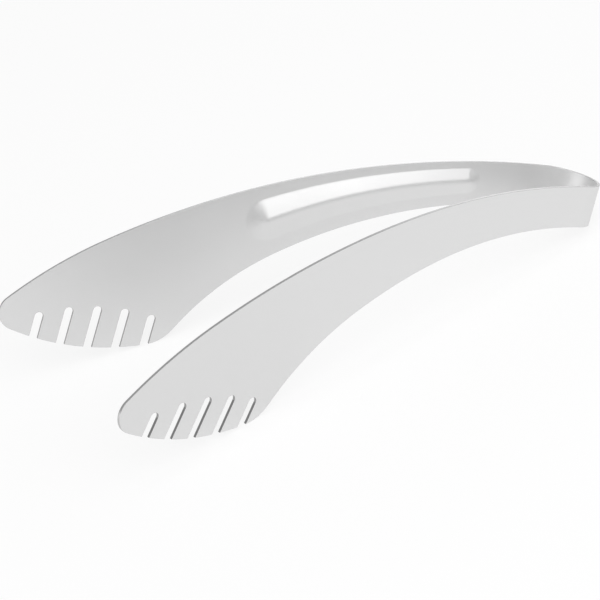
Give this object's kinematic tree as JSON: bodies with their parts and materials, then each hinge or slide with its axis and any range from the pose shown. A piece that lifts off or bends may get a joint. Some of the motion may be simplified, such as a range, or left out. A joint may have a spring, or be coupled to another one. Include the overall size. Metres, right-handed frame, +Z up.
{
  "type": "serving tongs",
  "caption": "Sprung sheet-steel serving tongs: a U-bow carries two bent arms with broad slotted blades; a long rib stiffens one arm.",
  "frame": {"origin": "on the ground plane, under the middle of the tongs' length and between the arms, as the tongs stand on the lower edges of their bow and blades", "axes": "+X from the bow towards the blades' noses, +Y towards the plain arm, +Z up"},
  "size_m": [0.2572, 0.1116, 0.0533],
  "materials": {
    "steel": "satin stainless sheet, smooth, with lightly tumbled edges"
  },
  "bodies": {
    "spring_bow": {"spring_bow": "steel"},
    "plain_arm": {"plain_arm": "steel"},
    "ribbed_arm": {"ribbed_arm": "steel"}
  },
  "joints": [
    {"name": "plain_arm_squeeze", "type": "hinge", "parent": "spring_bow", "child": "plain_arm", "pos_m": [-0.11254, 0.01449, 0.01402], "axis": [0.4325, 0, -0.9016], "range_deg": [0, 13.6], "stiffness_Nm_per_rad": 8},
    {"name": "ribbed_arm_squeeze", "type": "hinge", "parent": "spring_bow", "child": "ribbed_arm", "pos_m": [-0.11254, -0.01449, 0.01402], "axis": [-0.4325, 0, 0.9016], "range_deg": [0, 13.6], "stiffness_Nm_per_rad": 8}
  ],
  "couplings": [
    {"joint": "ribbed_arm_squeeze", "follows": "plain_arm_squeeze", "ratio": 1}
  ]
}
